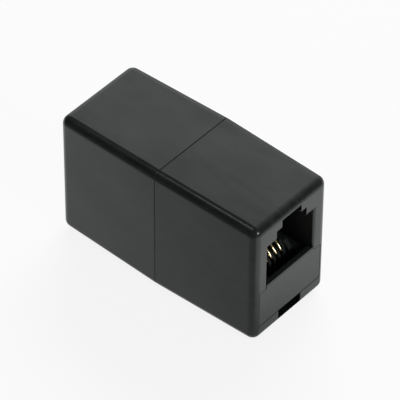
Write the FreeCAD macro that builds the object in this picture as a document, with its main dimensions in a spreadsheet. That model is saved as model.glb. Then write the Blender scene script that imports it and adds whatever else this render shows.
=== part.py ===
import FreeCAD, Part
import os
import re
import Sketcher
from FreeCAD import Placement, Rotation, Vector

# Telephone inline coupler: two six-position jacks back to back in a two-piece moulded casing.
# X runs along the coupler with x = 0 at the seam and the front jack at +X, Y is the width, Z is up
# and z = 0 is the lowest line of the casing, under the seam. Lengths are millimetres, angles degrees.

doc = FreeCAD.newDocument("inline_coupler")

dimensions = {
    # casing outside
    "half_length": 18.0,
    "seam_width": 16.0,
    "seam_height": 21.8,
    "draft_angle": 1.045,
    "edge_radius": 1.3,
    "seam_bevel": 0.1,
    # casing inside
    "end_wall": 1.6,
    "tunnel_depth": 13.2,
    "bay_width": 13.2,
    "bay_floor": 2.84,
    "bay_roof": 9.3,
    "hollow_floor": 1.5,
    "hollow_roof": 20.3,
    "lip_length": 1.5,
    "lip_thickness": 0.6,
    "lip_gap": 0.05,
    "channel_width": 4.8,
    "channel_floor": 0.85,
    "rail_width": 1.5,
    "core_wall": 1.1,
    # plug opening
    "plug_width": 9.84,
    "plug_floor": 9.76,
    "plug_roof": 17.12,
    "lead_in": 0.5,
    "shoulder_width": 6.34,
    "shoulder_top": 18.85,
    "latch_width": 4.08,
    "latch_top": 20.15,
    # contact block
    "block_gap": 0.08,
    "near_gap": 0.03,
    "far_gap": 0.12,
    "sole_gap": 0.12,
    "head_gap": 0.05,
    "sill_lean": 0.1,
    "flare_reach": 0.29,
    "flare_waist": 0.12,
    "flare_depth": 0.15,
    "ledge_depth": 0.88,
    "nose_depth": 2.74,
    "nose_width": 7.16,
    "nose_chamfer": 0.92,
    "deck_top": 10.25,
    "shelf_top": 9.0,
    "shelf_thickness": 1.0,
    "block_wall": 1.0,
    "rear_wall": 1.2,
    "rear_wall_top": 19.6,
    "comb_depth": 1.3,
    "comb_top": 16.9,
    "leg_floor": 4.0,
    "slot_width": 0.56,
    "slot_depth": 0.58,
    "slot_bevel": 0.46,
    "slot_knee": 9.53,
    "slot_top": 10.3,
    "tip_slot_back": 0.43,
    "groove_roof": 4.38,
    "bar_roof": 3.87,
    "splice_roof": 4.75,
    "splice_bay_depth": 7.4,
    "under_width": 5.8,
    "comb_core_depth": 5.0,
    # contact wires
    "contact_pitch": 1.016,
    "wire_diameter": 0.46,
    "wire_depth": 3.03,
    "tail_height": 4.1,
    "foot_bend": 0.8,
    "nose_bend": 0.6,
    "nose_rise": 0.09,
    "knee_depth": 4.1,
    "knee_rise": 1.46,
    "knee_bend": 6.0,
    "tip_depth": 12.3,
    "tip_rise": 5.95,
    # wire clamp
    "clamp_depth": 3.9,
    "clamp_length": 3.1,
    "clamp_bevel": 0.25,
    # splices and leads
    "sleeve_length": 2.0,
    "sleeve_diameter": 0.96,
    "sleeve_bore": 0.5,
    "sleeve_waist": 0.8,
    "sleeve_pinch": 0.4,
    "outer_splice": 8.9,
    "inner_splice": 11.1,
    "wire_gap": 0.05,
    "lead_diameter": 0.94,
    "strand_diameter": 0.4,
    "arch_span": 3.4,
    "arch_height": 5.6,
    "arch_bend": 2.4,
}

sheet = doc.addObject("Spreadsheet::Sheet", "Sheet")
for row, (alias, value) in enumerate(dimensions.items(), start=1):
    sheet.set("A%d" % row, alias)
    sheet.set("B%d" % row, str(value))
    sheet.setAlias("B%d" % row, alias)
doc.recompute()

pieces = []


def bound(formula):
    # a formula in the sheet's names, as an expression that reads the sheet
    return re.sub(r"\b(?!sqrt)[a-z_]{2,}", r"Sheet.\g<0>", formula)


def bind(thing, **sizes):
    for name, formula in sizes.items():
        thing.setExpression(name, bound(formula))


def new_body(label):
    body = doc.addObject("PartDesign::Body", label)
    body.Label = label
    pieces.append(body)
    return body


def origin_part(body, role):
    return [feature for feature in body.Origin.OriginFeatures if feature.Role == role][0]


def new_sketch(body, name, role, level=None):
    # a sketch on one of the body's own origin planes, or parallel to it at a level along its normal
    sketch = body.newObject("Sketcher::SketchObject", body.Name + "_" + name)
    sketch.AttachmentSupport = [(origin_part(body, role), "")]
    sketch.MapMode = "FlatFace"
    if level:
        sketch.setExpression("AttachmentOffset.Base.z", bound(level))
    return sketch


def pin(sketch, line, end, corner):
    # holds one end of a line at a corner given by two formulas
    for kind, formula in zip(("DistanceX", "DistanceY"), corner):
        index = sketch.addConstraint(Sketcher.Constraint(kind, -1, 1, line, end, 1.0))
        sketch.setExpression("Constraints[%d]" % index, bound(formula))


def outline(body, name, role, corners, level=None):
    # closed straight-sided profile with every corner bound to the sheet
    sketch = new_sketch(body, name, role, level)
    count = len(corners)
    start = [Rotation(Vector(0, 0, 1), 360.0 * k / count).multVec(Vector(5, 0, 0)) for k in range(count)]
    for k in range(count):
        sketch.addGeometry(Part.LineSegment(start[k], start[(k + 1) % count]), False)
    for k in range(count):
        sketch.addConstraint(Sketcher.Constraint("Coincident", k, 2, (k + 1) % count, 1))
    for k in range(count):
        pin(sketch, k, 1, corners[k])
    return sketch


def rectangle(low_u, high_u, low_v, high_v):
    return [(low_u, low_v), (high_u, low_v), (high_u, high_v), (low_u, high_v)]


def centred(width, low_v, high_v):
    return rectangle("-(%s) / 2" % width, "(%s) / 2" % width, low_v, high_v)


def extrude(body, kind, sketch, length, symmetric=False, turned=False):
    before = body.Shape.Volume if body.Tip else 0.0
    feature = body.newObject("PartDesign::" + kind, sketch.Name + "_" + kind.lower())
    feature.Profile = sketch
    feature.SideType = "Symmetric" if symmetric else "One side"
    feature.Reversed = turned
    bind(feature, Length=length)
    doc.recompute()
    change = body.Shape.Volume - before
    if (change > 1e-6) != (kind == "Pad"):
        raise ValueError("%s changed the volume by %.4f" % (feature.Name, change))
    return feature


def pad(body, sketch, length, **options):
    return extrude(body, "Pad", sketch, length, **options)


def pocket(body, sketch, length, **options):
    return extrude(body, "Pocket", sketch, length, **options)


def edges_where(shape, test):
    return ["Edge%d" % k for k, edge in enumerate(shape.Edges, start=1) if test(edge)]


def in_plane(edge, axis, place, tolerance=1e-4):
    return all(abs(vertex.Point[axis] - place) < tolerance for vertex in edge.Vertexes)


def dress(body, kind, name, edges, **sizes):
    # fillet or chamfer on named edges of the body as it stands
    base = body.Tip
    feature = body.newObject("PartDesign::" + kind, body.Name + "_" + name)
    feature.Base = (base, edges)
    bind(feature, **sizes)
    body.Tip = feature
    doc.recompute()


def draft_walls(body):
    # leans the four long walls in from the seam plane to the end
    walls = ["Face%d" % k for k, face in enumerate(body.Shape.Faces, start=1)
             if abs(face.normalAt(0, 0).x) < 0.5]
    base = body.Tip
    feature = body.newObject("PartDesign::Draft", body.Name + "_draft")
    feature.Base = (base, walls)
    feature.NeutralPlane = (origin_part(body, "YZ_Plane"), [""])
    bind(feature, Angle="draft_angle")
    body.Tip = feature
    doc.recompute()
    # the neutral plane is only ready on the second pass
    feature.touch()
    doc.recompute()
    if feature.Shape.isNull() or feature.Shape.Volume > base.Shape.Volume:
        raise ValueError("%s does not lean the walls in" % feature.Name)


def repeat_across(body, feature, count, pitch):
    # repeats a cut along Y
    pattern = body.newObject("PartDesign::LinearPattern", feature.Name + "_row")
    pattern.Originals = [feature]
    pattern.Direction = (origin_part(body, "Y_Axis"), [""])
    pattern.Occurrences = count
    bind(pattern, Length="%s * %d" % (pitch, count - 1))
    body.Tip = pattern
    doc.recompute()


def casing_half(label):
    # one moulded cup: drafted outside, plug tunnel over the block bay, wire channel in the floor
    body = new_body(label)
    outside = outline(body, "outside", "YZ_Plane", centred("seam_width", "0", "seam_height"))
    pad(body, outside, "half_length")
    draft_walls(body)
    outer_edges = edges_where(body.Shape, lambda edge: not in_plane(edge, 0, 0.0))
    dress(body, "Fillet", "rounding", outer_edges, Radius="edge_radius")
    seam_edges = edges_where(body.Shape, lambda edge: in_plane(edge, 0, 0.0))
    dress(body, "Chamfer", "seam_edge", seam_edges, Size="seam_bevel")

    # hollow between the seam and the back of the plug tunnel
    hollow = outline(body, "hollow", "YZ_Plane", centred("bay_width", "hollow_floor", "hollow_roof"))
    pocket(body, hollow, "half_length - tunnel_depth", turned=True)

    # half a lip on the +Y side and the rebate for the other half's lip on the -Y side
    lip_side = "bay_width / 2 + lip_thickness"
    lip = [("lip_gap", "hollow_floor - lip_thickness"), (lip_side, "hollow_floor - lip_thickness"),
           (lip_side, "hollow_roof + lip_thickness"), ("lip_gap", "hollow_roof + lip_thickness"),
           ("lip_gap", "hollow_roof"), ("bay_width / 2", "hollow_roof"),
           ("bay_width / 2", "hollow_floor"), ("lip_gap", "hollow_floor")]
    pad(body, outline(body, "lip", "YZ_Plane", lip), "lip_length", turned=True)
    rebate = rectangle("-(%s + lip_gap)" % lip_side, "0", "hollow_floor - lip_thickness - lip_gap",
                       "hollow_roof + lip_thickness + lip_gap")
    pocket(body, outline(body, "rebate", "YZ_Plane", rebate), "lip_length + lip_gap", turned=True)

    # openings that run through the end wall
    through = "half_length + end_wall"
    for name, width, low, high in (
            ("bay", "bay_width", "bay_floor", "bay_roof"),
            ("tunnel", "plug_width", "bay_floor", "plug_roof"),
            ("shoulder_slot", "shoulder_width", "bay_roof", "shoulder_top"),
            ("latch_slot", "latch_width", "bay_roof", "latch_top"),
            ("channel", "channel_width", "channel_floor", "bay_roof")):
        sketch = outline(body, name, "YZ_Plane", centred(width, low, high))
        pocket(body, sketch, through, turned=True)

    # pockets that stop behind the end wall: latch room, and cores that keep the walls even
    behind = "half_length - end_wall"
    room = outline(body, "latch_room", "YZ_Plane", centred("shoulder_width", "bay_roof", "latch_top"))
    pocket(body, room, behind, turned=True)
    rail_side = "channel_width / 2 + rail_width"
    core_side = "shoulder_width / 2 + core_wall"
    for sign, side in (("", "left"), ("-", "right")):
        relief = rectangle(sign + "(%s)" % rail_side, sign + "bay_width / 2", "hollow_floor", "bay_roof")
        pocket(body, outline(body, "floor_relief_" + side, "YZ_Plane", relief), behind, turned=True)
        core = rectangle(sign + "(%s)" % core_side, sign + "bay_width / 2", "plug_roof + core_wall",
                         "hollow_roof")
        pocket(body, outline(body, "roof_core_" + side, "YZ_Plane", core), behind, turned=True)

    # rounded lead-in at the main plug opening
    face = float(sheet.half_length)
    jamb = float(sheet.plug_width) / 2
    roof = float(sheet.plug_roof)

    def leads_in(edge):
        if not in_plane(edge, 0, face):
            return False
        return in_plane(edge, 1, jamb) or in_plane(edge, 1, -jamb) or in_plane(edge, 2, roof)

    dress(body, "Fillet", "plug_lead_in", edges_where(body.Shape, leads_in), Radius="lead_in")
    return body


def contact_block(label):
    # moulded insert: front panel, trough, six-slot comb nose and deck, plug stop and spacer legs
    body = new_body(label)
    face = "half_length"
    panel_side = "bay_width - 2 * block_gap"
    sole = "bay_floor + sole_gap"
    # the panel leans on the near side of its window, so the joint is wider on the far side
    head = "bay_roof - head_gap"
    field = rectangle("near_gap - bay_width / 2", "bay_width / 2 - far_gap", sole, head)
    pad(body, outline(body, "panel", "YZ_Plane", field, level=face), "ledge_depth", turned=True)
    ledge = "half_length - ledge_depth"
    nose = "half_length - nose_depth"
    stop = "half_length - tunnel_depth"
    stop_back = "half_length - tunnel_depth - rear_wall"

    # sill of the plug opening: a flat ledge, ends that follow the rounded jambs, and a lip that leans back
    sill = rectangle(ledge, face, sole, "plug_floor")
    pad(body, outline(body, "sill", "XZ_Plane", sill), "plug_width - 2 * block_gap", symmetric=True)
    sill_side = "plug_width / 2 - block_gap"
    for sign, side in (("", "left"), ("-", "right")):
        flare = [(face, sign + "(%s)" % sill_side), (face, sign + "(%s + flare_reach)" % sill_side),
                 ("half_length - flare_depth", sign + "(%s + flare_waist)" % sill_side),
                 ("half_length - lead_in", sign + "(%s)" % sill_side)]
        end = outline(body, "sill_flare_" + side, "XY_Plane", flare, level=head)
        pad(body, end, "plug_floor - (%s)" % head)
    lean = [(face, "bay_roof"), (face, "plug_floor"), ("half_length - sill_lean", "plug_floor")]
    pocket(body, outline(body, "lip", "XZ_Plane", lean), "plug_width + 2 * lead_in", symmetric=True)

    # shelves on both sides with upright rims, joined to the comb in the middle
    shelf = centred(panel_side, "bay_floor", "shelf_top")
    run = "tunnel_depth - ledge_depth"
    pad(body, outline(body, "shelves", "YZ_Plane", shelf, level=ledge), run, turned=True)
    rim_low = "bay_width / 2 - block_gap - block_wall"
    rim_high = "bay_width / 2 - block_gap"
    for sign, side in (("", "left"), ("-", "right")):
        rim = rectangle(sign + "(%s)" % rim_low, sign + "(%s)" % rim_high, "bay_floor",
                        "bay_roof - block_gap")
        pad(body, outline(body, "rim_" + side, "YZ_Plane", rim, level=ledge), run, turned=True)

    comb = [(nose, "bay_floor"), (nose, "deck_top - nose_chamfer"), (nose + " - nose_chamfer", "deck_top"),
            (stop + " + comb_depth", "deck_top"), (stop + " + comb_depth", "comb_top"), (stop, "comb_top"),
            (stop, "bay_floor")]
    pad(body, outline(body, "comb", "XZ_Plane", comb), "nose_width", symmetric=True)

    wall = centred(panel_side, "bay_floor", "rear_wall_top")
    pad(body, outline(body, "plug_stop", "YZ_Plane", wall, level=stop), "rear_wall", turned=True)
    for sign, side in (("", "left"), ("-", "right")):
        leg = rectangle(sign + "(%s)" % rim_low, sign + "(%s)" % rim_high, "leg_floor", "shelf_top")
        pad(body, outline(body, "leg_" + side, "YZ_Plane", leg), stop_back)

    # trough between the panel and the nose, open to the wire channel below
    trough = rectangle(nose, ledge, "-nose_width / 2", "nose_width / 2")
    pocket(body, outline(body, "trough", "XY_Plane", trough), "deck_top", turned=True)

    # cores: from below under each shelf, and from behind inside the comb
    for sign, side in (("", "left"), ("-", "right")):
        core = rectangle(stop, nose, sign + "(nose_width / 2 + block_wall)", sign + "(%s)" % rim_low)
        pocket(body, outline(body, "shelf_core_" + side, "XY_Plane", core), "shelf_top - shelf_thickness",
               turned=True)
    core = centred("nose_width - 2 * block_wall", "splice_roof + block_wall", "deck_top - block_wall")
    comb_core = outline(body, "comb_core", "YZ_Plane", core, level=stop_back)
    pocket(body, comb_core, "tunnel_depth + rear_wall - comb_core_depth", turned=True)

    # room under the comb: a low stretch for the clamp bar and a taller one for the splices
    splice_start = "half_length - splice_bay_depth"
    under = [(nose, "bay_floor"), (nose, "bar_roof"), (splice_start, "bar_roof"),
             (splice_start, "splice_roof"), (stop_back, "splice_roof"), (stop_back, "bay_floor")]
    pocket(body, outline(body, "under_room", "XZ_Plane", under), "under_width", symmetric=True)

    # six wire slots: along the underside, up the nose and over its bevel, then behind the tips
    slots = 6
    row_side = "%g * contact_pitch" % ((slots - 1) / 2)
    slot_back = nose + " - slot_depth"
    slot_out = nose + " + block_gap"
    slot = [(slot_out, "bay_floor"), (splice_start, "bay_floor"), (splice_start, "groove_roof"),
            (slot_back + " - slot_bevel", "groove_roof"), (slot_back, "groove_roof + slot_bevel"),
            (slot_back, "slot_knee"), (slot_back + " - 2 * slot_bevel", "slot_top"), (slot_out, "slot_top")]
    cut = pocket(body, outline(body, "wire_slot", "XZ_Plane", slot, level=row_side), "slot_width",
                 symmetric=True)
    repeat_across(body, cut, slots, "contact_pitch")

    tip_slot = rectangle(stop + " + tip_slot_back", stop + " + comb_depth + block_gap", "deck_top",
                         "comb_top")
    cut = pocket(body, outline(body, "tip_slot", "XZ_Plane", tip_slot, level=row_side), "slot_width",
                 symmetric=True)
    repeat_across(body, cut, slots, "contact_pitch")
    return body


def wire_clamp(label):
    # bar that presses the wires into the slots under the comb
    body = new_body(label)
    front = "half_length - clamp_depth"
    back = "half_length - clamp_depth - clamp_length"
    bar = [(front, "bay_floor + clamp_bevel"), (front, "bar_roof"), (back, "bar_roof"),
           (back, "bay_floor + clamp_bevel"), (back + " + clamp_bevel", "bay_floor"),
           (front + " - clamp_bevel", "bay_floor")]
    pad(body, outline(body, "bar", "XZ_Plane", bar), "under_width - block_gap", symmetric=True)
    return body


def route(body, name, stops, bends):
    # open path of straight runs in the XZ plane, its inner corners rounded to tangent arcs
    sketch = new_sketch(body, name, "XZ_Plane")
    runs = len(stops) - 1
    for k in range(runs):
        sketch.addGeometry(Part.LineSegment(Vector(k, k * k, 0), Vector(k + 1, (k + 1) ** 2, 0)), False)
    for k in range(runs - 1):
        sketch.addConstraint(Sketcher.Constraint("Coincident", k, 2, k + 1, 1))
    for k in range(runs):
        pin(sketch, k, 1, stops[k])
    pin(sketch, runs - 1, 2, stops[runs])
    doc.recompute()
    for k, bend in enumerate(bends):
        sketch.fillet(k, 2, float(sheet.get(bend)), True, True)
        arc = sketch.GeometryCount - 1
        while not isinstance(sketch.Geometry[arc], Part.ArcOfCircle):
            arc -= 1
        index = sketch.addConstraint(Sketcher.Constraint("Radius", arc, float(sheet.get(bend))))
        sketch.setExpression("Constraints[%d]" % index, bound(bend))
    doc.recompute()
    return sketch


def octagon(across, centre="0"):
    # corners of an eight-sided section, given the size across its flats and the height of its centre
    flat = "%s / 2" % across
    half_side = "%s / 2 * (sqrt(2) - 1)" % across
    quarter = [(flat, half_side), (half_side, flat)]
    corners = []
    for u, v in (("", ""), ("-", ""), ("-", "-"), ("", "-")):
        turn = quarter if u == v else quarter[::-1]
        corners += [("%s(%s)" % (u, reach), "%s + %s(%s)" % (centre, v, rise)) for reach, rise in turn]
    return corners


def bar_along(body, name, across, centre, level, path):
    # eight-sided bar carried along a path that starts across the X axis
    pipe = body.newObject("PartDesign::AdditivePipe", body.Name + "_" + name + "_pipe")
    pipe.Profile = outline(body, name, "YZ_Plane", octagon(across, centre), level)
    pipe.Spine = (path, [])
    doc.recompute()


def contact_wire(label, splice):
    # spring contact: tail under the comb, up the nose, over it and back into the plug opening
    body = new_body(label)
    tail_end = "half_length - %s + wire_gap" % splice
    stops = [(tail_end, "tail_height"), ("half_length - wire_depth", "tail_height"),
             ("half_length - wire_depth", "plug_floor + nose_rise"),
             ("half_length - knee_depth", "plug_floor + knee_rise"),
             ("half_length - tip_depth", "plug_floor + tip_rise")]
    path = route(body, "path", stops, ("foot_bend", "nose_bend", "knee_bend"))
    bar_along(body, "section", "wire_diameter", "tail_height", tail_end, path)
    return body


def splice_sleeve(label):
    # crimped sleeve, eight-sided inside and out, pinched in the middle
    body = new_body(label)
    pad(body, outline(body, "jaw", "YZ_Plane", octagon("sleeve_diameter")), "sleeve_length", symmetric=True)
    pocket(body, outline(body, "bore", "YZ_Plane", octagon("sleeve_bore")), "sleeve_length", symmetric=True)
    top = "sleeve_diameter / 2"
    pinch = [("-sleeve_pinch", top), ("0", "sleeve_waist / 2"), ("sleeve_pinch", top)]
    pocket(body, outline(body, "pinch", "XZ_Plane", pinch), "sleeve_diameter", symmetric=True)
    return body


def lead(label, splice):
    # insulated lead between two splices, bowed up in the hollow, with a bare end in each sleeve
    body = new_body(label)
    start = "half_length - %s - sleeve_length / 2" % splice
    stops = [(start, "tail_height"), ("arch_span", "tail_height"), ("0", "arch_height"),
             ("-arch_span", "tail_height"), ("-(%s)" % start, "tail_height")]
    path = route(body, "path", stops, ("arch_bend", "arch_bend", "arch_bend"))
    bar_along(body, "jacket", "lead_diameter", "tail_height", start, path)
    bare = "sleeve_length / 2 - wire_gap"
    strand = octagon("strand_diameter", "tail_height")
    pad(body, outline(body, "front_strand", "YZ_Plane", strand, start), bare)
    pad(body, outline(body, "rear_strand", "YZ_Plane", strand, "-(%s)" % start), bare, turned=True)
    return body


def place(body, across="0", along="0", up="0", half_turn=False):
    # puts a piece where it sits; a half turn about Z carries it to the rear jack
    turn = 180.0 if half_turn else 0.0
    sign = "-" if half_turn else ""
    body.Placement = Placement(Vector(0, 0, 0), Rotation(Vector(0, 0, 1), turn))
    body.setExpression("Placement.Base.x", bound(sign + "(%s)" % along))
    body.setExpression("Placement.Base.y", bound(sign + "(%s)" % across))
    body.setExpression("Placement.Base.z", bound(up))


places_across = ["%g * contact_pitch" % step for step in (-1.5, -0.5, 0.5, 1.5)]
splices = ("outer_splice", "inner_splice", "inner_splice", "outer_splice")

for end, half_turn in (("front", False), ("rear", True)):
    place(casing_half(end + "_casing_half"), half_turn=half_turn)
    place(contact_block(end + "_contact_block"), half_turn=half_turn)
    place(wire_clamp(end + "_wire_clamp"), half_turn=half_turn)
    for number, (across, splice) in enumerate(zip(places_across, splices), start=1):
        place(contact_wire("%s_contact_%d" % (end, number), splice), across, half_turn=half_turn)
        sleeve = splice_sleeve("%s_splice_%d" % (end, number))
        place(sleeve, across, "half_length - " + splice, "tail_height", half_turn=half_turn)

for colour, across, splice in zip(("black", "red", "green", "yellow"), places_across, splices):
    place(lead("lead_" + colour, splice), across)

doc.recompute()

for thing in doc.Objects:
    if "Invalid" in thing.State or "Error" in thing.State:
        raise ValueError("%s did not build: %s" % (thing.Name, thing.State))
for body in pieces:
    shape = body.Shape
    if shape.isNull() or not shape.isValid() or len(shape.Solids) != 1:
        raise ValueError("%s is not one valid solid" % body.Label)

os.makedirs("parts", exist_ok=True)
for body in pieces:
    body.Shape.exportStep("parts/%s.step" % body.Label)
    print("%-20s %9.3f mm3" % (body.Label, body.Shape.Volume))
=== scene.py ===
import bpy
import math
import numpy as np
from mathutils import Matrix, Vector


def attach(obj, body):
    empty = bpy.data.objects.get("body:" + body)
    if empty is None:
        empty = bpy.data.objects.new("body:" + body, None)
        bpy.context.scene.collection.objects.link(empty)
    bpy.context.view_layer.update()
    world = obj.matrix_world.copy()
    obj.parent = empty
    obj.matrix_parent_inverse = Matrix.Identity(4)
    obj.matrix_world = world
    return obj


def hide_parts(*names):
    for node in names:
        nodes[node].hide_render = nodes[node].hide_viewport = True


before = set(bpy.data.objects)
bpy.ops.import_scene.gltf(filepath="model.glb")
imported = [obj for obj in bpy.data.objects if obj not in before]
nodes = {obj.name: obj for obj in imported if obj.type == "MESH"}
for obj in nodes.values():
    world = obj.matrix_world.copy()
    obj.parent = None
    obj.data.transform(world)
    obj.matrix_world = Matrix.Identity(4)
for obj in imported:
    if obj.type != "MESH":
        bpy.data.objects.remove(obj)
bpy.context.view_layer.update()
mm = 0.001
print("frame loaded:", len(nodes), "pieces")


def linear(hexColour):
    # sRGB hex to linear RGBA
    srgb = [int(hexColour[k:k + 2], 16) / 255 for k in (1, 3, 5)]
    return [c / 12.92 if c <= 0.04045 else ((c + 0.055) / 1.055) ** 2.4 for c in srgb] + [1.0]


def add(tree, kind, links=None, **settings):
    # one node: settings by name, inputs as {socket: value} or {socket: (node, output)}
    node = tree.nodes.new(kind)
    for name, value in settings.items():
        setattr(node, name, value)
    for socket, source in (links or {}).items():
        if isinstance(source, tuple) and isinstance(source[0], bpy.types.Node):
            tree.links.new(source[0].outputs[source[1]], node.inputs[socket])
        else:
            node.inputs[socket].default_value = source
    return node


def newMaterial(name):
    material = bpy.data.materials.new(name)
    material.use_nodes = True
    material.node_tree.nodes.clear()
    return material, material.node_tree


# casing halves: black ABS, injection moulded; the plug tunnel is the box that the core pins left dull,
# and it is painted a lighter grey as painted light; the groove between the halves is painted lighter, a
# painted light that lifts its shade
casingLook = {"colour": "#121715", "rubbed": "#202523", "roughness": (0.25, 0.27), "ior": 1.5,
              "tint": (0.95, 1.0, 0.975, 1.0), "grainMm": 0.18, "grainDepthMm": 0.002,
              "sinkMm": 9.0, "sinkDepthMm": 0.15, "streakMm": (3.6, 1.1, 1.1), "streakReach": (0.22, 0.78),
              "dullPaintedLightColour": "#1a1e1d", "dullRoughness": 0.55,
              "dullAndPaintedLightMiddleMm": (0.0, 0.0, 14.7), "dullAndPaintedLightHalfMm": (17.5, 4.97, 5.5),
              "paintedSeamLight": "#282d2b", "paintedSeamLightMm": 0.11}
# inserts: black PBT, moulded in a plainer tool; all behind the front panel is dull and painted a lighter grey
# as painted light, and the groove gets no painted light
insertLook = {"colour": "#101513", "rubbed": "#1b201e", "roughness": (0.22, 0.3), "ior": 1.5,
              "tint": (0.95, 1.0, 0.975, 1.0), "grainMm": 0.16, "grainDepthMm": 0.003,
              "sinkMm": 5.0, "sinkDepthMm": 0.05, "streakMm": (1.5, 4.0, 1.5), "streakReach": (0.22, 0.78),
              "dullPaintedLightColour": "#1d2221", "dullRoughness": 0.7,
              "dullAndPaintedLightMiddleMm": (0.0, 0.0, 11.0), "dullAndPaintedLightHalfMm": (17.86, 7.0, 9.0),
              "paintedSeamLight": "#282d2b", "paintedSeamLightMm": 0.0}


def mouldedPlastic(name, look):
    # satin black with a fine eroded grain: walls that sank a little as they cooled make a reflection waver,
    # sliding over a bench leaves faint streaks along the length, and the unpolished inside is dull and painted
    # a lighter grey, painted light that stands in for light reaching in; real grain is about 0.05 mm, too fine
    # to show, so it is drawn coarser
    material, tree = newMaterial(name)
    where = add(tree, "ShaderNodeTexCoord")
    grain = add(tree, "ShaderNodeTexNoise", {
        "Vector": (where, "Object"), "Scale": 1 / (look["grainMm"] * mm), "Detail": 0.0})
    sink = add(tree, "ShaderNodeTexNoise", {
        "Vector": (where, "Object"), "Scale": 1 / (look["sinkMm"] * mm), "Detail": 0.0})
    drawn = add(tree, "ShaderNodeMapping", {
        "Vector": (where, "Object"), "Scale": [1 / (length * mm) for length in look["streakMm"]]})
    streak = add(tree, "ShaderNodeTexNoise", {"Vector": (drawn, "Vector"), "Scale": 1.0, "Detail": 1.0})
    rubbed = add(tree, "ShaderNodeMapRange", {
        "Value": (streak, "Fac"), "From Min": look["streakReach"][0], "From Max": look["streakReach"][1]},
        interpolation_type="SMOOTHSTEP")
    satin = add(tree, "ShaderNodeMapRange", {
        "Value": (rubbed, "Result"), "To Min": look["roughness"][0], "To Max": look["roughness"][1]})
    black = add(tree, "ShaderNodeMix", {
        "Factor": (rubbed, "Result"), "A": linear(look["colour"]), "B": linear(look["rubbed"])},
        data_type="RGBA")
    # inside the dull box, where the colour is also painted lighter as painted light, the largest of |x|, |y|
    # and |z|, in half sizes from its middle, is under 1
    boxed = add(tree, "ShaderNodeMapping", {
        "Vector": (where, "Object"), "Scale": [1 / (half * mm) for half in look["dullAndPaintedLightHalfMm"]],
        "Location": [-middle / half for middle, half in zip(look["dullAndPaintedLightMiddleMm"], look["dullAndPaintedLightHalfMm"])]})
    away = add(tree, "ShaderNodeVectorMath", {0: (boxed, "Vector")}, operation="ABSOLUTE")
    axes = add(tree, "ShaderNodeSeparateXYZ", {"Vector": (away, "Vector")})
    level = add(tree, "ShaderNodeMath", {0: (axes, "X"), 1: (axes, "Y")}, operation="MAXIMUM")
    most = add(tree, "ShaderNodeMath", {0: (level, "Value"), 1: (axes, "Z")}, operation="MAXIMUM")
    inside = add(tree, "ShaderNodeMath", {0: (most, "Value"), 1: 1.0}, operation="LESS_THAN")
    dull = add(tree, "ShaderNodeMix", {
        "Factor": (inside, "Value"), "A": (satin, "Result"), "B": look["dullRoughness"]}, data_type="FLOAT")
    # the dull box's lighter grey is painted light: it stands in for light reaching into the tunnel
    colour = add(tree, "ShaderNodeMix", {
        "Factor": (inside, "Value"), "A": (black, "Result"), "B": linear(look["dullPaintedLightColour"])},
        data_type="RGBA")
    # painted light: near the joint at x = 0 the groove is painted lighter, to lift the shade in it
    spot = add(tree, "ShaderNodeSeparateXYZ", {"Vector": (where, "Object")})
    groove = add(tree, "ShaderNodeMath", {
        0: (spot, "X"), 1: 0.0, 2: look["paintedSeamLightMm"] * mm}, operation="COMPARE")
    groovePaintedLight = add(tree, "ShaderNodeMix", {
        "Factor": (groove, "Value"), "A": (colour, "Result"), "B": linear(look["paintedSeamLight"])}, data_type="RGBA")
    wave = add(tree, "ShaderNodeBump", {
        "Height": (sink, "Fac"), "Strength": 1.0, "Distance": look["sinkDepthMm"] * mm})
    bump = add(tree, "ShaderNodeBump", {
        "Height": (grain, "Fac"), "Strength": 1.0, "Distance": look["grainDepthMm"] * mm,
        "Normal": (wave, "Normal")})
    shader = add(tree, "ShaderNodeBsdfPrincipled", {
        "Base Color": (groovePaintedLight, "Result"), "Roughness": (dull, "Result"), "IOR": look["ior"],
        "Specular Tint": look["tint"], "Normal": (bump, "Normal")})
    add(tree, "ShaderNodeOutputMaterial", {"Surface": (shader, "BSDF")})
    return material


casingAbs = mouldedPlastic("abs_black_moulded", casingLook)
insertPbt = mouldedPlastic("pbt_black_moulded", insertLook)
print("plastics made")

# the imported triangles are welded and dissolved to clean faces, and sharp edges broken as a mould breaks them
edgeLook = {"weldMm": 0.001, "flatDegrees": 0.4, "breakMm": 0.06, "breakSteps": 2, "sharpDegrees": 30,
            "evenWeight": 100}


def softenEdges(node, look):
    weld = node.modifiers.new("weld", "WELD")
    weld.merge_threshold = look["weldMm"] * mm
    flat = node.modifiers.new("flat", "DECIMATE")
    flat.decimate_type = "DISSOLVE"
    flat.angle_limit = math.radians(look["flatDegrees"])
    edge = node.modifiers.new("edge", "BEVEL")
    edge.width = look["breakMm"] * mm
    edge.segments = look["breakSteps"]
    edge.limit_method = "ANGLE"
    edge.angle_limit = math.radians(look["sharpDegrees"])
    edge.harden_normals = True
    even = node.modifiers.new("even", "WEIGHTED_NORMAL")
    even.keep_sharp = True
    even.weight = look["evenWeight"]
    node.data.polygons.foreach_set("use_smooth", np.ones(len(node.data.polygons), bool))


mouldings = {"casing_half": casingAbs, "contact_block": insertPbt, "wire_clamp": insertPbt}
for end in ("front", "rear"):
    for name, material in mouldings.items():
        node = nodes[end + "_" + name]
        node.data.materials.clear()
        node.data.materials.append(material)
        softenEdges(node, edgeLook)
print("casing, blocks and clamps dressed")


# surfaces worked out on a grid: rings of points along a line
def unit(way):
    return way / np.linalg.norm(way, axis=-1, keepdims=True)


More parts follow.
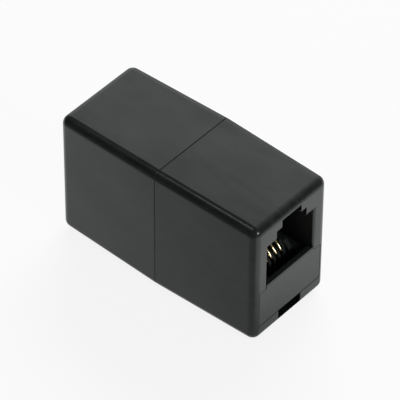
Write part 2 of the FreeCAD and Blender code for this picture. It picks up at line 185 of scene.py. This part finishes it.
def bentLine(corners, bends, steps=9):
    # straight runs joined by tangent arcs; over the turn w an arc is
    # centre + (sin((1 - t) w) start + sin(t w) end) / sin(w)
    corners = np.array(corners, float)
    share = np.linspace(0, 1, steps)[:, None]
    runs = [corners[:1]]
    for before, corner, after, bend in zip(corners, corners[1:], corners[2:], bends):
        back, on = unit(before - corner), unit(after - corner)
        half = math.acos(back @ on) / 2
        turn = math.pi - 2 * half
        centre = corner + unit(back + on) * bend / math.sin(half)
        start = corner + back * bend / math.tan(half) - centre
        end = corner + on * bend / math.tan(half) - centre
        arc = np.sin((1 - share) * turn) * start + np.sin(share * turn) * end
        runs.append(centre + arc / math.sin(turn))
    return np.vstack(runs + [corners[-1:]])


def brokenEnds(line, reach):
    # adds a point close to each end, where a cut edge is broken
    first, last = unit(line[1] - line[0]) * reach, unit(line[-1] - line[-2]) * reach
    return np.vstack([line[:1], line[:1] + first, line[1:-1], line[-1:] - last, line[-1:]])


def ringsAlong(line, radius, sides):
    # circle carried along a line in the XZ plane: line + radius (cos a up + sin a across),
    # with up square to the line
    along = unit(np.gradient(line, axis=0))
    across = np.array([0.0, 1.0, 0.0])
    up = np.cross(along, across)
    angle = np.linspace(0, 2 * np.pi, sides, endpoint=False)[None, :, None]
    radius = np.broadcast_to(radius, len(line))[:, None, None]
    return line[:, None] + radius * (np.cos(angle) * up[:, None] + np.sin(angle) * across)


def skinOver(rings, closed=False):
    # quads between neighbouring rings; an open run of rings is capped at both ends
    count, sides = rings.shape[:2]
    ring = np.arange(count if closed else count - 1)[:, None]
    side = np.arange(sides)[None, :]
    after, beside = (ring + 1) % count, (side + 1) % sides
    quads = np.stack([ring * sides + side, ring * sides + beside,
                      after * sides + beside, after * sides + side], -1)
    faces = quads.reshape(-1, 4).tolist()
    if not closed:
        faces += [list(range(sides))[::-1], list(range((count - 1) * sides, count * sides))]
    return rings.reshape(-1, 3), faces


def halfTurn(points):
    # the rear jack is the front one turned half a turn about Z
    return points * np.array([-1.0, -1.0, 1.0])


def newPiece(name, parts, replaced):
    # one object from several closed skins in millimetres, each with its own material
    mesh = bpy.data.meshes.new(name)
    points, faces, kinds, looks = [], [], [], []
    for rings, closed, material in parts:
        skin, quads = skinOver(rings, closed)
        start = sum(len(p) for p in points)
        points.append(skin)
        faces += [[corner + start for corner in face] for face in quads]
        if material not in looks:
            looks.append(material)
        kinds += [looks.index(material)] * len(quads)
    mesh.from_pydata((np.vstack(points) * mm).tolist(), [], faces)
    for material in looks:
        mesh.materials.append(material)
    mesh.polygons.foreach_set("material_index", np.array(kinds, np.int32))
    mesh.polygons.foreach_set("use_smooth", np.array([len(face) == 4 for face in faces]))
    mesh.validate()
    mesh.update()
    piece = bpy.data.objects.new(name, mesh)
    bpy.context.scene.collection.objects.link(piece)
    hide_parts(replaced)
    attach(piece, "root")


# four contacts at each end: bronze wire, bent cold and gold plated; places in millimetres, (x, z) for the
# bends, and "splice" how far in from the casing's end each sleeve's middle is
wireLook = {"diameter": 0.46, "pitch": 1.016, "splice": (8.9, 11.1, 11.1, 8.9), "gap": 0.05, "end": 18.0,
            "tail": 4.1, "nose": (14.97, 9.85), "knee": (13.9, 11.22), "tip": (5.7, 15.71),
            "bends": (0.8, 0.6, 6.0), "broken": 0.15, "sides": 24, "colour": "#e3d2ab",
            "roughness": (0.07, 0.2), "drawMm": 0.05, "drawStretch": (0.04, 1.0, 0.04),
            "drawReach": (0.3, 0.7), "drawDepthMm": 0.002, "drawStrength": 0.3}


def goldPlate(name, look):
    # pale gold, only a flash thick; drawing the wire left fine lines along it that plating does not fill;
    # they are some 0.01 mm apart, too fine to show, so they are drawn coarser
    material, tree = newMaterial(name)
    where = add(tree, "ShaderNodeTexCoord")
    long = add(tree, "ShaderNodeMapping", {"Vector": (where, "Object"), "Scale": look["drawStretch"]})
    lines = add(tree, "ShaderNodeTexNoise", {
        "Vector": (long, "Vector"), "Scale": 1 / (look["drawMm"] * mm), "Detail": 2.0})
    dull = add(tree, "ShaderNodeMapRange", {
        "Value": (lines, "Fac"), "From Min": look["drawReach"][0], "From Max": look["drawReach"][1],
        "To Min": look["roughness"][0], "To Max": look["roughness"][1]})
    bump = add(tree, "ShaderNodeBump", {
        "Height": (lines, "Fac"), "Strength": look["drawStrength"], "Distance": look["drawDepthMm"] * mm})
    shader = add(tree, "ShaderNodeBsdfPrincipled", {
        "Base Color": linear(look["colour"]), "Metallic": 1.0, "Roughness": (dull, "Result"),
        "Normal": (bump, "Normal")})
    add(tree, "ShaderNodeOutputMaterial", {"Surface": (shader, "BSDF")})
    return material


wireGold = goldPlate("bronze_gold_plated", wireLook)


def acrossRow(look, number):
    # distance of a contact from the middle plane
    return (number - 1.5) * look["pitch"]


def wireRings(look, number):
    # round wire: tail, up the nose, over it and back to the tip
    tailEnd = look["end"] - look["splice"][number] + look["gap"]
    stops = [(tailEnd, look["tail"]), (look["nose"][0], look["tail"]),
             look["nose"], look["knee"], look["tip"]]
    line = bentLine([(x, acrossRow(look, number), z) for x, z in stops], look["bends"])
    radius = look["diameter"] / 2
    breakEdge = look["broken"] * radius
    line = brokenEnds(line, breakEdge)
    size = np.full(len(line), radius)
    size[[0, -1]] = radius - breakEdge
    return ringsAlong(line, size, look["sides"])


for number in range(4):
    rings = wireRings(wireLook, number)
    for end, place in (("front", rings), ("rear", halfTurn(rings))):
        node = "%s_contact_%d" % (end, number + 1)
        newPiece("%s_spring_wire_%d" % (end, number + 1), [(place, False, wireGold)], node)
print("contact wires bent")

# crimp sleeves on the wire tails: brass tube, tinned
sleeveLook = {"diameter": 0.96, "bore": 0.5, "length": 2.0, "waist": 0.8, "pinch": 0.4, "pinchSteps": 9,
              "rim": 0.08, "sides": 32, "colour": "#c9ccce", "roughness": (0.24, 0.4), "crystalMm": 0.12}


def tinPlate(name, look):
    # soft grey-white metal, frosted in small patches where the tin froze
    material, tree = newMaterial(name)
    where = add(tree, "ShaderNodeTexCoord")
    frost = add(tree, "ShaderNodeTexVoronoi", {
        "Vector": (where, "Object"), "Scale": 1 / (look["crystalMm"] * mm)})
    dull = add(tree, "ShaderNodeMapRange", {
        "Value": (frost, "Distance"), "To Min": look["roughness"][0], "To Max": look["roughness"][1]})
    shader = add(tree, "ShaderNodeBsdfPrincipled", {
        "Base Color": linear(look["colour"]), "Metallic": 1.0, "Roughness": (dull, "Result")})
    add(tree, "ShaderNodeOutputMaterial", {"Surface": (shader, "BSDF")})
    return material


sleeveTin = tinPlate("brass_tinned", sleeveLook)


def sleeveRings(look, wire, number):
    # section of the wall turned about the sleeve's axis; the crimp lowers the top by a notch
    half, outer, bore, rim = look["length"] / 2, look["diameter"] / 2, look["bore"] / 2, look["rim"]
    pinched = np.linspace(-look["pinch"], look["pinch"], look["pinchSteps"])
    along = np.concatenate([[-half + rim], pinched, [half - rim]])
    wallX = np.concatenate([[-half, -half], along, [half, half, half - rim, -half + rim]])
    wallR = np.concatenate([[bore + rim, outer - rim], np.full(len(along), outer),
                            [outer - rim, bore + rim, bore, bore]])
    angle = np.linspace(0, 2 * np.pi, look["sides"], endpoint=False)[None, :]
    notch = np.clip(1 - np.abs(wallX) / look["pinch"], 0, 1)[:, None] * (wallR > bore + rim)[:, None]
    depth = (look["diameter"] - look["waist"]) / 2 * notch
    y = wallR[:, None] * np.sin(angle)
    z = wallR[:, None] * np.cos(angle)
    z = np.minimum(z, outer - depth)
    x = np.broadcast_to(wallX[:, None], z.shape)
    middle = (wire["end"] - wire["splice"][number], acrossRow(wire, number), wire["tail"])
    return np.stack([x, y, z], -1) + np.array(middle)


for number in range(4):
    rings = sleeveRings(sleeveLook, wireLook, number)
    for end, place in (("front", rings), ("rear", halfTurn(rings))):
        node = "%s_splice_%d" % (end, number + 1)
        newPiece("%s_crimp_sleeve_%d" % (end, number + 1), [(place, True, sleeveTin)], node)
print("sleeves crimped")

# four leads between the jacks: PVC over tinned copper strands
leadLook = {"diameter": 0.94, "strand": 0.4, "span": 3.4, "arch": 5.6, "sides": 28, "mottleMm": 0.4,
            "tone": (0.85, 1.15), "roughness": (0.3, 0.46), "ior": 1.53,
            "colours": {"black": "#17181a", "red": "#a81f24", "green": "#1f7a3c", "yellow": "#d8b21e"}}


def extrudedPvc(name, colour, look):
    # soft and slightly oily: an even colour with faint mottling from the extruder
    material, tree = newMaterial(name)
    where = add(tree, "ShaderNodeTexCoord")
    mottle = add(tree, "ShaderNodeTexNoise", {
        "Vector": (where, "Object"), "Scale": 1 / (look["mottleMm"] * mm), "Detail": 3.0})
    tone = add(tree, "ShaderNodeMapRange", {
        "Value": (mottle, "Fac"), "To Min": look["tone"][0], "To Max": look["tone"][1]})
    shade = add(tree, "ShaderNodeHueSaturation", {"Color": linear(colour), "Value": (tone, "Result")})
    dull = add(tree, "ShaderNodeMapRange", {
        "Value": (mottle, "Fac"), "To Min": look["roughness"][0], "To Max": look["roughness"][1]})
    shader = add(tree, "ShaderNodeBsdfPrincipled", {
        "Base Color": (shade, "Color"), "Roughness": (dull, "Result"), "IOR": look["ior"]})
    add(tree, "ShaderNodeOutputMaterial", {"Surface": (shader, "BSDF")})
    return material


def splineLine(stops):
    # points read from a smooth spline with the stops as its control points
    curve = bpy.data.curves.new("route", "CURVE")
    curve.dimensions = "3D"
    spline = curve.splines.new("NURBS")
    spline.points.add(len(stops) - 1)
    spline.points.foreach_set("co", np.hstack([np.array(stops), np.ones((len(stops), 1))]).ravel())
    spline.order_u = 3
    spline.use_endpoint_u = True
    thing = bpy.data.objects.new("route", curve)
    mesh = bpy.data.meshes.new_from_object(thing)
    line = np.empty(len(mesh.vertices) * 3)
    mesh.vertices.foreach_get("co", line)
    bpy.data.meshes.remove(mesh)
    bpy.data.objects.remove(thing)
    bpy.data.curves.remove(curve)
    return line.reshape(-1, 3)


for number, (colour, shade) in enumerate(leadLook["colours"].items()):
    y = acrossRow(wireLook, number)
    tail = wireLook["tail"]
    start = wireLook["end"] - wireLook["splice"][number] - sleeveLook["length"] / 2
    stops = [(start, y, tail), (leadLook["span"], y, tail), (0, y, leadLook["arch"]),
             (-leadLook["span"], y, tail), (-start, y, tail)]
    jacket = ringsAlong(splineLine(stops), leadLook["diameter"] / 2, leadLook["sides"])
    bare = start + sleeveLook["length"] / 2 - wireLook["gap"]
    reach = (start, (start + bare) / 2, bare)
    strands = [np.array([(side * x, y, tail) for x in reach]) for side in (1, -1)]
    parts = [(jacket, False, extrudedPvc("pvc_%s_extruded" % colour, shade, leadLook))]
    parts += [(ringsAlong(line, leadLook["strand"] / 2, leadLook["sides"]), False, sleeveTin)
              for line in strands]
    newPiece("insulated_lead_" + colour, parts, "lead_" + colour)
print("leads laid")

# camera: where the photograph was taken from; degrees, metres, and millimetres for lens and sensor
cameraView = {"azimuth": 40.548, "elevation": 43.934, "roll": 0.387, "distance": 0.513489,
              "aside": 0.0011, "above": 0.000171, "aim": (0, 0, 0.0109), "lens": 329.15, "sensor": 36,
              "clip": 0.01}


def addCamera(look):
    a, e, r = (math.radians(look[key]) for key in ("azimuth", "elevation", "roll"))
    back = Vector((math.sin(a) * math.cos(e), -math.cos(a) * math.cos(e), math.sin(e)))
    side = Vector((math.cos(a), math.sin(a), 0))
    up = back.cross(side)
    side, up = math.cos(r) * side + math.sin(r) * up, -math.sin(r) * side + math.cos(r) * up
    data = bpy.data.cameras.new("camera")
    data.lens = look["lens"]
    data.sensor_width = look["sensor"]
    data.clip_start = look["clip"]
    eye = back * look["distance"] + side * look["aside"] + up * look["above"] + Vector(look["aim"])
    thing = bpy.data.objects.new("camera", data)
    turn = Matrix((side, up, back)).transposed().to_4x4()
    thing.matrix_world = Matrix.Translation(eye) @ turn
    bpy.context.scene.collection.objects.link(thing)
    bpy.context.scene.camera = thing


addCamera(cameraView)

# lamps: direction from the object, distance, width and height in metres, radiance
lamps = {
    "key_lamp": {"from": (0.9, -0.03, 0.43), "distance": 0.7, "size": (0.1, 0.1), "radiance": 38},
    "edge_strip": {"from": (-0.30, -0.264, 0.867), "distance": 0.7, "size": (0.2, 0.04), "radiance": 8},
    "back_fill": {"from": (-0.35, 0.7, 0.62), "distance": 1.0, "size": (0.9, 0.6), "radiance": 5,
                  "glossy": False},
}


def addLamp(name, look):
    # a flat panel that faces the object; watts = pi x area x radiance
    data = bpy.data.lights.new(name, "AREA")
    data.shape = "RECTANGLE"
    data.size, data.size_y = look["size"]
    data.energy = math.pi * data.size * data.size_y * look["radiance"]
    thing = bpy.data.objects.new(name, data)
    way = Vector(look["from"]).normalized()
    turn = way.to_track_quat("Z", "Y").to_matrix().to_4x4()
    thing.matrix_world = Matrix.Translation(way * look["distance"]) @ turn
    thing.visible_glossy = look.get("glossy", True)
    thing.visible_camera = False
    bpy.context.scene.collection.objects.link(thing)


for name, look in lamps.items():
    addLamp(name, look)

# surroundings: a dim room with a broad white wall behind, brightest at the left
roomLook = {"dim": 0.11, "wall": 1.6, "edge": (0.42, 0.62), "top": (0.62, 0.85), "ebb": 0.4,
            "side": (-0.54, 0.6), "fade": 0.97}


def addRoom(look):
    # light by direction: dim + wall x smooth rise and ebb with y x fall with x
    world = bpy.data.worlds.new("studio")
    bpy.context.scene.world = world
    world.use_nodes = True
    tree = world.node_tree
    tree.nodes.clear()
    where = add(tree, "ShaderNodeTexCoord")
    way = add(tree, "ShaderNodeSeparateXYZ", {"Vector": (where, "Generated")})
    rise = add(tree, "ShaderNodeMapRange", {
        "Value": (way, "Y"), "From Min": look["edge"][0], "From Max": look["edge"][1],
        "To Min": 0.0, "To Max": look["wall"]}, interpolation_type="SMOOTHSTEP")
    fall = add(tree, "ShaderNodeMapRange", {
        "Value": (way, "X"), "From Min": look["side"][0], "From Max": look["side"][1],
        "To Min": 1.0, "To Max": 1 - look["fade"]})
    ebb = add(tree, "ShaderNodeMapRange", {
        "Value": (way, "Y"), "From Min": look["top"][0], "From Max": look["top"][1],
        "To Min": 1.0, "To Max": look["ebb"]})
    band = add(tree, "ShaderNodeMath", {0: (rise, "Result"), 1: (ebb, "Result")}, operation="MULTIPLY")
    wall = add(tree, "ShaderNodeMath", {0: (band, "Value"), 1: (fall, "Result")}, operation="MULTIPLY")
    light = add(tree, "ShaderNodeMath", {0: (wall, "Value"), 1: look["dim"]}, operation="ADD")
    glow = add(tree, "ShaderNodeBackground", {"Color": (1, 1, 1, 1), "Strength": (light, "Value")})
    add(tree, "ShaderNodeOutputWorld", {"Surface": (glow, "Background")})


addRoom(roomLook)

# floor: white paper that the camera and reflections see nearly evenly lit, with the shadow left in
floorLook = {"half": 3.0, "colour": "#f4f4f4", "white": 0.87, "mirrored": 0.5}


def addFloor(look):
    half = look["half"]
    corners = [(-half, -half, 0), (half, -half, 0), (half, half, 0), (-half, half, 0)]
    mesh = bpy.data.meshes.new("floor")
    mesh.from_pydata(corners, [], [list(range(len(corners)))])
    thing = bpy.data.objects.new("floor", mesh)
    bpy.context.scene.collection.objects.link(thing)
    material, tree = newMaterial("paper_white")
    path = add(tree, "ShaderNodeLightPath")
    through = add(tree, "ShaderNodeMath", {
        0: (path, "Is Camera Ray"), 1: (path, "Is Transmission Ray")}, operation="MAXIMUM")
    direct = add(tree, "ShaderNodeMath", {0: (through, "Value"), 1: look["white"]}, operation="MULTIPLY")
    share = add(tree, "ShaderNodeMath", {
        0: (path, "Is Glossy Ray"), 1: look["mirrored"], 2: (direct, "Value")}, operation="MULTIPLY_ADD")
    paper = add(tree, "ShaderNodeBsdfDiffuse", {"Color": linear(look["colour"])})
    white = add(tree, "ShaderNodeEmission", {"Color": (1, 1, 1, 1), "Strength": 1.0})
    both = add(tree, "ShaderNodeMixShader", {
        0: (share, "Value"), 1: (paper, "BSDF"), 2: (white, "Emission")})
    add(tree, "ShaderNodeOutputMaterial", {"Surface": (both, "Shader")})
    mesh.materials.append(material)


addFloor(floorLook)

# cards: glowing grey sheets laid on the floor where only reflections see them, a painted shadow in the
# reflections;
# so the near side keeps an even, darker tone, the end darkens towards its foot and the far edge has no bright
# rim
cardLiftMm = 0.02
cards = {
    "near_card": {"cornersMm": ((-300, -8.4), (17.6, -8.4), (98, -48), (300, -148), (300, -400),
                                (-300, -400)),
                  "way": (1.0, -0.855), "reachMm": (-23.8, 34.2), "light": (0.88, 0.4),
                  "out": (0.0, -1.0), "fadeMm": (26, 70), "far": 0.12},
    "end_card": {"cornersMm": ((18.1, -8.6), (98, -48), (300, -148), (300, 300), (18.1, 300)),
                 "way": (1.016, 0.4), "reachMm": (17.3, 28.3), "light": (0.52, 1.02),
                 "out": (1.0, 0.0), "fadeMm": (70, 140), "far": 0.12},
    "far_card": {"cornersMm": ((-300, 8.6), (17, 8.6), (17, 300), (-300, 300)),
                 "way": (0.0, 1.0), "reachMm": (10, 40), "light": (0.55, 0.25),
                 "out": (0.0, 1.0), "fadeMm": (40, 90), "far": 0.12},
}


def addCard(name, look):
    # painted shadow by place: the glow changes along way over reachMm, then fades to far along out over fadeMm
    mesh = bpy.data.meshes.new(name)
    corners = [(x * mm, y * mm, cardLiftMm * mm) for x, y in look["cornersMm"]]
    mesh.from_pydata(corners, [], [list(range(len(corners)))])
    thing = bpy.data.objects.new(name, mesh)
    bpy.context.scene.collection.objects.link(thing)
    for ray in ("camera", "diffuse", "shadow", "transmission", "volume_scatter"):
        setattr(thing, "visible_" + ray, False)
    material, tree = newMaterial(name + "_painted_shadow")
    where = add(tree, "ShaderNodeTexCoord")
    along = add(tree, "ShaderNodeVectorMath", {
        0: (where, "Object"), 1: look["way"] + (0.0,)}, operation="DOT_PRODUCT")
    near = add(tree, "ShaderNodeMapRange", {
        "Value": (along, "Value"), "From Min": look["reachMm"][0] * mm, "From Max": look["reachMm"][1] * mm,
        "To Min": look["light"][0], "To Max": look["light"][1]})
    out = add(tree, "ShaderNodeVectorMath", {
        0: (where, "Object"), 1: look["out"] + (0.0,)}, operation="DOT_PRODUCT")
    fade = add(tree, "ShaderNodeMapRange", {
        "Value": (out, "Value"), "From Min": look["fadeMm"][0] * mm, "From Max": look["fadeMm"][1] * mm})
    light = add(tree, "ShaderNodeMix", {
        "Factor": (fade, "Result"), "A": (near, "Result"), "B": look["far"]}, data_type="FLOAT")
    glow = add(tree, "ShaderNodeEmission", {"Color": (1, 1, 1, 1), "Strength": (light, "Result")})
    add(tree, "ShaderNodeOutputMaterial", {"Surface": (glow, "Emission")})
    mesh.materials.append(material)


for name, look in cards.items():
    addCard(name, look)
bpy.context.scene.view_settings.view_transform = "Standard"
print("camera, lamps and floor set")
